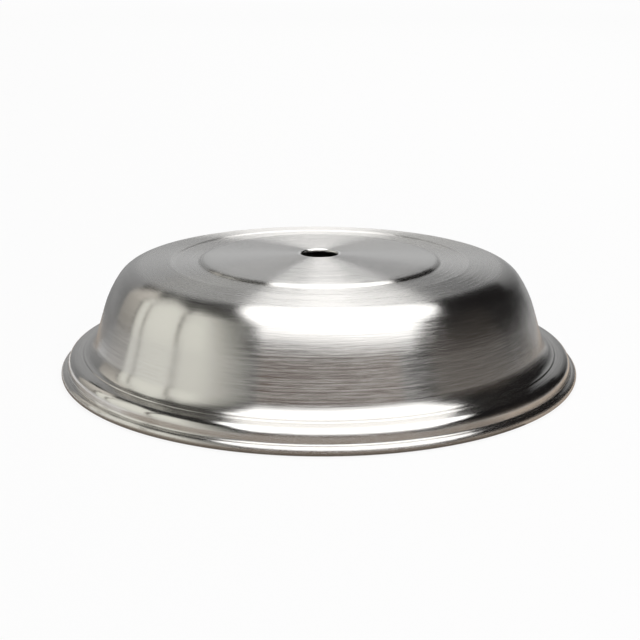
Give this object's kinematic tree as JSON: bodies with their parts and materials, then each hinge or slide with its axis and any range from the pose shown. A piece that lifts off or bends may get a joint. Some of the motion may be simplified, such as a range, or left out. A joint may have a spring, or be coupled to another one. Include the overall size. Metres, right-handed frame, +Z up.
{
  "type": "plate cover",
  "caption": "Round spun-steel cover set over a hot plate, with a domed top, finger hole, flared wall, flange and rolled rim.",
  "frame": {"origin": "on the table under the middle of the cover, in the plane of the rolled rim's rest flat", "axes": "+Z up along the cover's axis, through the middle of the finger hole; X and Y are level"},
  "size_m": [0.28, 0.28, 0.0619],
  "materials": {
    "spun_stainless": "satin, with fine brush lines running round the cover",
    "drawn_wire": "bright drawn wire"
  },
  "bodies": {
    "root": {"cover_shell": "spun_stainless", "rim_wire": "drawn_wire"}
  },
  "joints": []
}
